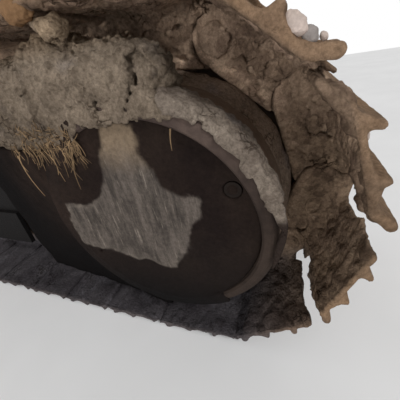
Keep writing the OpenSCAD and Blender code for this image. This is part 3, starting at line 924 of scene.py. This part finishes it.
def bolt_places():
    """Place, way that the head looks and width across flats of each bolt."""
    for k in range(RING_BOLTS):
        turn = math.radians(360 / RING_BOLTS * k + RING_START)
        yield WHEEL_X + RING_R * math.cos(turn), BRACKET_FACE, WHEEL_Z + RING_R * math.sin(turn), 1, 30
    for x in LAP_X:
        for z in LAP_Z:
            yield x, BRACKET_FACE, z, 1, 30
    for x in np.linspace(ROLLER_INSET - WHEEL_X, WHEEL_X - ROLLER_INSET, ROLLERS):
        for way in (-1, 1):
            for dx in (-38, 38):
                yield x + dx, way * COLLAR_FACE, COLLAR_Z, way, 22
    for way in (-1, 1):
        for dx in (-56, 56):
            for dz in (-56, 56):
                yield dx - WHEEL_X, way * BLOCK_FACE, WHEEL_Z + dz, way, 24
    for x in (-CARRIER_X, CARRIER_X):
        for dx in (-32, 32):
            yield x + dx, STAND_FACE, STAND_Z, 1, 24
    for dx in (-74, 74):
        for dz in (-30, 30):
            yield HATCH_X + dx, HATCH_FACE, HATCH_Z + dz, -1, 16


def build_bolts(material):
    shapes = []
    for x, y, z, way, flats in bolt_places():
        washer = [(0.8 * flats, -1), (0.8 * flats, 2.5), (0.76 * flats, 3)]
        head = [(0.577 * flats, 2), (0.577 * flats, 0.56 * flats), (0.48 * flats, 0.66 * flats)]
        shapes.append(turned(washer, 20, x, y, z, way))
        shapes.append(turned(head, 6, x, y, z, way))
    part = join(shapes)
    piece("bolts", part, material).data.shade_flat()


# Materials
def srgb(r, g, b):
    """A colour as linear light, from values of 0 to 255 on a screen."""
    return [((c / 255 + 0.055) / 1.055) ** 2.4 if c > 10 else c / 3294.6 for c in (r, g, b)] + [1]


class Finish:
    """A material made of nodes on one shader."""

    def __init__(self, name, roughness, specular=0.5, metallic=0.0):
        self.material = bpy.data.materials.new(name)
        self.material.use_nodes = True
        self.tree = self.material.node_tree
        self.shader = self.tree.nodes["Principled BSDF"]
        values = {"Roughness": roughness, "Specular IOR Level": specular, "Metallic": metallic}
        for key, value in values.items():
            self.shader.inputs[key].default_value = value
        self.place = self.add("TexCoord").outputs["Object"]

    def add(self, kind, inputs=None, **settings):
        node = self.tree.nodes.new("ShaderNode" + kind)
        for key, value in settings.items():
            setattr(node, key, value)
        for key, value in (inputs or {}).items():
            if isinstance(value, bpy.types.NodeSocket):
                self.tree.links.new(value, node.inputs[key])
            else:
                node.inputs[key].default_value = value
        return node

    def noise(self, scale, detail=4, rough=0.6, low=0.35, high=0.65, vector=None):
        inputs = {"Vector": vector or self.place, "Scale": scale, "Detail": detail, "Roughness": rough}
        return self.spread(self.add("TexNoise", inputs).outputs["Fac"], low, high)

    def spread(self, value, low, high):
        """A value brought to 0 at low and 1 at high."""
        return self.add("MapRange", {"Value": value, "From Min": low, "From Max": high}).outputs[0]

    def attribute(self, name, low, high):
        return self.spread(self.add("Attribute", attribute_name=name).outputs["Fac"], low, high)

    def math(self, operation, a, b):
        return self.add("Math", {0: a, 1: b}, operation=operation).outputs[0]

    def mix(self, factor, a, b, blend="MIX"):
        node = self.add("Mix", {0: factor, 6: a, 7: b}, data_type="RGBA", blend_type=blend)
        return node.outputs[2]

    def gain(self, tone, factor, start, end):
        """The tone times a red, green and blue gain that runs from start to end with the factor."""
        return self.mix(1.0, tone, self.mix(factor, (*start, 1), (*end, 1)), "MULTIPLY")

    def colour(self, value):
        self.tree.links.new(value, self.shader.inputs["Base Color"])

    def bump(self, height, depth):
        before = self.shader.inputs["Normal"].links
        inputs = {"Height": height, "Distance": depth, "Strength": 1.0}
        if before:
            inputs["Normal"] = before[0].from_socket
        normal = self.add("Bump", inputs).outputs["Normal"]
        self.tree.links.new(normal, self.shader.inputs["Normal"])

    def vector_math(self, operation, a, b):
        return self.add("VectorMath", {0: a, 1: b}, operation=operation).outputs[0]

    def cracks(self, scale, width, wander):
        """0 on the lines between cells of a bent pattern and 1 beside them."""
        drift = self.add("TexNoise", {"Vector": self.place, "Scale": scale * 0.8, "Detail": 4})
        shift = self.vector_math("MULTIPLY", drift.outputs["Color"], (wander / scale,) * 3)
        bent = self.vector_math("ADD", self.place, shift)
        cells = self.add("TexVoronoi", {"Vector": bent, "Scale": scale}, feature="DISTANCE_TO_EDGE")
        return self.spread(cells.outputs["Distance"], 0.01, width)

    def grains(self, scale, share, fine_scale):
        """Round grains of one scale under a finer unevenness."""
        cells = self.add("TexVoronoi", {"Vector": self.place, "Scale": scale}).outputs["Distance"]
        fine = self.noise(fine_scale, detail=5, rough=0.75, low=0.2, high=0.8)
        return self.math("ADD", self.math("MULTIPLY", cells, -share), fine)

    def drawn_out(self, turn, scale):
        """Places turned about Y and scaled each way, for a pattern of long marks."""
        inputs = {"Vector": self.place, "Rotation": (0, turn, 0), "Scale": scale}
        return self.add("Mapping", inputs).outputs[0]

    def along(self, axis, low, high):
        """0 at one place along an axis and 1 at another, in metres."""
        return self.spread(self.add("SeparateXYZ", {0: self.place}).outputs[axis], low, high)


# Heights in metres between which painted light makes the chain's mud paler upwards and painted shade
# makes it darker downwards, painted light on the chain's inner faces grows, the clods on the clump turn
# pale and painted light makes the drum paler
HIGH, LOW, INNER_Z = (0.46, 0.70), (0.22, 0.06), (0.04, 0.6)
CLOD_Z = (WHEEL_Z * MM + 0.31, WHEEL_Z * MM + 0.34)
DRUM_TOP_LIGHT_Z = (WHEEL_Z * MM + 0.04, WHEEL_Z * MM + 0.2)

# Places in metres where another tone comes in: painted shade on the frame's outer side towards the drive
# end, painted shade beside the drum, and pale mud with painted light behind the drum's rim
DARK_END = (0.1, 0.6)
SHADE_Z = (WHEEL_Z * MM - 0.22, WHEEL_Z * MM + 0.03)
SHADE_X = (WHEEL_X * MM - 0.55, WHEEL_X * MM - 0.25)
BEHIND_RIM = (-0.284, -0.270)

# Depth in metres of the grains' bump
CLAY_GRAIN, MUD_GRAIN = 0.005, 0.004

# A gain that changes nothing
EVEN = (1, 1, 1)


def clay(name, dark, middle, light, deep=4.0, plain=None, top=None):
    """Dried clay: painted shade in its clefts and painted light on its crests, paler towards its top,
    with plain mud beside it.
    """
    f = Finish(name, 0.95, 0.08)
    fine = f.noise(150, detail=6, rough=0.8, low=0.3, high=0.7)
    crest = f.attribute("depth", -deep, deep)
    tone = f.mix(f.noise(9, detail=3), srgb(*dark), srgb(*middle))
    # Painted light on the crests, from the depth attribute
    tone = f.mix(f.math("MULTIPLY", crest, 0.6), tone, srgb(*light))
    cool = f.noise(14, detail=3, rough=0.5, low=0.55, high=0.7)
    tone = f.gain(tone, cool, EVEN, (0.86, 0.9, 1.0))
    tone = f.gain(tone, fine, (0.5, 0.48, 0.46), (1.42, 1.42, 1.42))
    whole = f.noise(16, detail=2, rough=0.5, low=0.34, high=0.4)
    crack = f.math("MAXIMUM", f.cracks(62, width=0.09, wander=0.6), whole)
    tone = f.gain(tone, crack, (0.45, 0.42, 0.40), EVEN)
    if plain:
        tone = f.mix(f.attribute("pale", 0, 1), srgb(*plain), tone)
    if top:
        tone = f.gain(tone, f.along("Z", *top), EVEN, (1.65, 1.55, 1.4))
    f.colour(tone)
    f.bump(f.grains(150, 0.8, 240), CLAY_GRAIN)
    f.bump(crack, CLAY_GRAIN * 0.5)
    return f.material


def chain_finish():
    """Worn steel under dried mud: tan on the shoes' outer faces, partly painted sunlight, with painted
    light high up and on the inner faces and painted shade low down and in hollows.
    """
    f = Finish("muddy_track", 0.93, 0.08)
    fine = f.noise(140, detail=6, rough=0.78, low=0.3, high=0.7)
    crest = f.attribute("depth", -5, 7)
    tone = f.mix(f.noise(11), srgb(98, 81, 67), srgb(128, 108, 89))
    # Painted shade in the hollows and painted light on the crests, from the depth attribute
    tone = f.mix(f.spread(crest, 0.4, -0.2), tone, srgb(66, 52, 42))
    tone = f.mix(f.spread(crest, 0.45, 1.2), tone, srgb(152, 131, 110))
    # Painted light: paler high up
    tone = f.gain(tone, f.along("Z", *HIGH), EVEN, (1.58, 1.6, 1.68))
    # Painted light on the inner faces, which lie in shade, more of it higher up
    inner = f.math("MULTIPLY", f.attribute("inner", 0, 1), f.along("Z", *INNER_Z))
    tone = f.gain(tone, inner, EVEN, (2.1, 2.15, 2.2))
    # Tan of dried mud on the outer faces and ends, partly painted sunlight
    spotty = f.noise(7, detail=3, low=0.2, high=0.6)
    dry = f.math("MULTIPLY", f.attribute("dry", 0, 1), spotty)
    tone = f.mix(dry, tone, srgb(152, 124, 98))
    # Painted shade: darker and bluer low down
    tone = f.gain(tone, f.along("Z", *LOW), EVEN, (0.40, 0.53, 0.86))
    tone = f.gain(tone, fine, (0.55, 0.53, 0.51), (1.42, 1.42, 1.42))
    patchy = f.noise(12, detail=2, rough=0.5, low=0.38, high=0.44)
    whole = f.math("ADD", patchy, f.attribute("dry", 0, 0.3))
    crack = f.math("MAXIMUM", f.cracks(58, width=0.08, wander=1.2), whole)
    f.colour(f.gain(tone, crack, (0.4, 0.37, 0.34), EVEN))
    f.bump(f.grains(130, 0.6, 220), MUD_GRAIN)
    f.bump(crack, MUD_GRAIN * 0.5)
    return f.material


def straw_finish():
    """Straw of several browns, one to a strand."""
    f = Finish("straw", 0.8, 0.1)
    tone = f.mix(f.attribute("tone", 0, 1), srgb(66, 53, 41), srgb(142, 118, 90))
    f.colour(f.gain(tone, f.noise(80), (0.75, 0.75, 0.75), (1.2, 1.18, 1.15)))
    return f.material


def painted(name, paint, dirt, roughness, cover=0.5, dark_end=None, behind=None, painted_light_top=False):
    """Paint under a film of dirt, with painted shade on the frame's outer side, pale mud with painted
    light behind the drum's rim, or painted light high up.
    """
    f = Finish(name, roughness, 0.1)
    dirty = f.noise(6, detail=5, rough=0.65, low=0.6 - cover / 2, high=0.9 - cover / 2)
    tone = f.mix(dirty, srgb(*paint), srgb(*dirt))
    # Painted shade on the frame's outer side towards the drive end
    if dark_end:
        outer = f.math("MULTIPLY", f.along("X", *DARK_END), f.along("Y", 0.08, -0.06))
        tone = f.mix(outer, tone, srgb(*dark_end))
    # Painted light: paler high up on the drum
    if painted_light_top:
        tone = f.gain(tone, f.along("Z", *DRUM_TOP_LIGHT_Z), EVEN, (2.3, 2.35, 2.5))
    # Pale mud behind the drum's rim, made paler still as painted light
    if behind:
        tone = f.mix(f.along("Y", *BEHIND_RIM), tone, srgb(*behind))
    f.colour(f.gain(tone, f.noise(60, detail=6, rough=0.7), (0.82, 0.82, 0.82), (1.16, 1.15, 1.13)))
    f.bump(f.noise(130, detail=5, rough=0.7), 0.0008)
    return f.material


def steel(name, tone_a, tone_b, roughness, metallic):
    """Bare steel with duller spots."""
    f = Finish(name, roughness, metallic=metallic)
    f.colour(f.mix(f.noise(18, detail=6, rough=0.7), srgb(*tone_a), srgb(*tone_b)))
    f.bump(f.noise(160), 0.0005)
    return f.material


def shaded_mud(f):
    """Smooth mud with painted shade: brown beside the clump and nearly black low down and to the left."""
    lit = f.math("MULTIPLY", f.along("Z", *SHADE_Z), f.along("X", *SHADE_X))
    uneven = f.noise(9, low=0.1, high=0.6)
    lit = f.math("MULTIPLY", lit, uneven)
    return f.mix(lit, srgb(19, 17, 17), srgb(46, 36, 31))


def bank_finish():
    """The smooth mud of the bank, with painted shade."""
    f = Finish("bank_mud", 0.95, 0.04)
    fine = f.noise(60, detail=6, rough=0.75, low=0.3, high=0.7)
    f.colour(f.gain(shaded_mud(f), fine, (0.7, 0.7, 0.7), (1.3, 1.3, 1.3)))
    f.bump(fine, 0.002)
    return f.material


def cover_finish():
    """Dark mud on the cover with painted shade low down and on its film, and a scratched patch of
    dried clay that is palest at its edge.
    """
    f = Finish("cover_clay", 0.85, 0.05)
    fine = f.noise(120, detail=6, rough=0.8, low=0.3, high=0.7)
    plain = f.mix(f.noise(8, detail=5), srgb(30, 23, 21), srgb(44, 35, 30))
    # Painted shade: darker low on the cover and on the film of clay
    plain = f.mix(f.along("Z", *SHADE_Z), srgb(26, 22, 21), plain)
    plain = f.mix(f.attribute("film", 0, 1), plain, shaded_mud(f))
    streak = f.noise(1, detail=6, rough=0.75, vector=f.drawn_out(0.75, (60, 20, 9)))
    dust = f.mix(streak, srgb(60, 55, 51), srgb(104, 95, 88))
    worn = f.noise(14, low=0.5, high=0.75)
    dust = f.mix(worn, dust, srgb(56, 51, 48))
    dust = f.mix(f.attribute("tan", 0, 1), dust, srgb(128, 111, 92))
    scratch = f.noise(1, rough=0.7, low=0.6, high=0.72, vector=f.drawn_out(-0.5, (150, 20, 14)))
    dust = f.mix(scratch, dust, srgb(130, 120, 110))
    tone = f.mix(f.attribute("patch", 0, 1), plain, dust)
    tone = f.mix(f.attribute("brim", 0, 1), tone, srgb(112, 103, 94))
    f.colour(f.gain(tone, fine, (0.66, 0.66, 0.66), (1.32, 1.32, 1.32)))
    f.bump(fine, 0.0015)
    return f.material


# Pale mud behind the drum's rim, made paler still as painted light
RIM_MUD_AND_LIGHT = (118, 101, 88)
# Near-black painted shade on the frame's outer side
SHADE = (21, 19, 19)

# Finishes of the solids by their slots
FINISHES = {
    "drive_steel": painted(
        "drive_paint", (42, 34, 30), (58, 48, 42), 0.8, behind=RIM_MUD_AND_LIGHT, painted_light_top=True,
    ),
    "cover_steel": painted("cover_paint", (28, 22, 19), (38, 31, 27), 0.8),
    "motor_paint": painted("motor_paint", (62, 58, 54), (96, 82, 68), 0.7),
    "frame_paint": painted("frame_paint", (164, 122, 52), (104, 86, 68), 0.7, 0.75, dark_end=SHADE),
    "wheel_steel": painted("wheel_mud", (84, 68, 54), (112, 92, 74), 0.85),
    "pin_steel": steel("bare_steel", (120, 114, 106), (88, 78, 68), 0.45, 0.8),
    "track_steel": painted("track_plain", (84, 68, 54), (112, 92, 74), 0.9),
    "dried_clay": painted("clay_plain", (98, 86, 76), (120, 106, 94), 0.95),
}
for sub in frame["record"]["subparts"]:
    thing = frame["nodes"][sub["node"]]
    thing.data.materials.clear()
    kind = "cover_steel" if sub["node"] == "drum_plugs" else sub["material_slot"]
    thing.data.materials.append(FINISHES[kind])


# Light from all sides, and lamps: name, strength, angular size in degrees, direction towards the lamp
WORLD_LIGHT = 0.5
LAMPS = [
    ("key", 1.5, 14, (0.6, -0.35, 0.75)),
    ("front", 2.2, 25, (-0.25, -1, 0)),
]
FLOOR = 9


def add_studio():
    """Soft light, a pale floor and a white background."""
    scene.view_settings.view_transform = "Standard"
    world = bpy.data.worlds.new("studio")
    world.use_nodes = True
    scene.world = world
    tree = world.node_tree
    light = tree.nodes["Background"]
    light.inputs["Color"].default_value = (1, 1, 1, 1)
    light.inputs["Strength"].default_value = WORLD_LIGHT
    white = tree.nodes.new("ShaderNodeBackground")
    white.inputs["Color"].default_value = (1, 1, 1, 1)
    path = tree.nodes.new("ShaderNodeLightPath")
    choose = tree.nodes.new("ShaderNodeMixShader")
    tree.links.new(path.outputs["Is Camera Ray"], choose.inputs[0])
    tree.links.new(light.outputs[0], choose.inputs[1])
    tree.links.new(white.outputs[0], choose.inputs[2])
    tree.links.new(choose.outputs[0], tree.nodes["World Output"].inputs["Surface"])
    for name, energy, size, aim in LAMPS:
        data = bpy.data.lights.new(name, "SUN")
        data.energy = energy
        data.angle = math.radians(size)
        lamp = add_object(name, data)
        lamp.rotation_euler = Vector(aim).to_track_quat("Z", "Y").to_euler()
    mesh = bpy.data.meshes.new("floor")
    corners = [(-FLOOR, -FLOOR, 0), (FLOOR, -FLOOR, 0), (FLOOR, FLOOR, 0), (-FLOOR, FLOOR, 0)]
    mesh.from_pydata(corners, [], [(0, 1, 2, 3)])
    floor = add_object("floor", mesh)
    f = Finish("floor", 0.9)
    f.colour(f.mix(f.noise(2, detail=3), (0.80, 0.80, 0.80, 1), (0.84, 0.84, 0.84, 1)))
    mesh.materials.append(f.material)


clump_clay = clay("clump_clay", (84, 72, 60), (132, 118, 103), (168, 152, 134), 5, top=CLOD_Z)
strip_clay = clay("strip_clay", (110, 98, 88), (144, 131, 119), (168, 155, 141), plain=(56, 46, 41))
# Pale clay in the drum's corner, made paler still as painted light
corner_clay = clay("corner_clay", (120, 104, 91), (160, 140, 123), (184, 164, 146))
build_chain(chain_finish())
build_clump(clump_clay)
build_strip(strip_clay)
build_bank(bank_finish())
build_corner(corner_clay)
build_roof(clay("roof_clay", (84, 71, 59), (116, 99, 83), (138, 120, 101)))
build_bolts(painted("bolt_mud", (74, 62, 52), (100, 84, 68), 0.8))
build_cover(cover_finish())
build_straw(straw_finish())
pale_stone = painted("pale_stone", (196, 180, 172), (160, 146, 136), 0.7)
grey_stone = painted("grey_stone", (128, 122, 120), (150, 142, 136), 0.7)
# A clod of dried mud whose tan is partly painted sunlight
tan_clod = painted("tan_clod", (128, 98, 70), (104, 80, 58), 0.9)
build_stones([pale_stone, grey_stone, tan_clod])
add_camera()
add_studio()
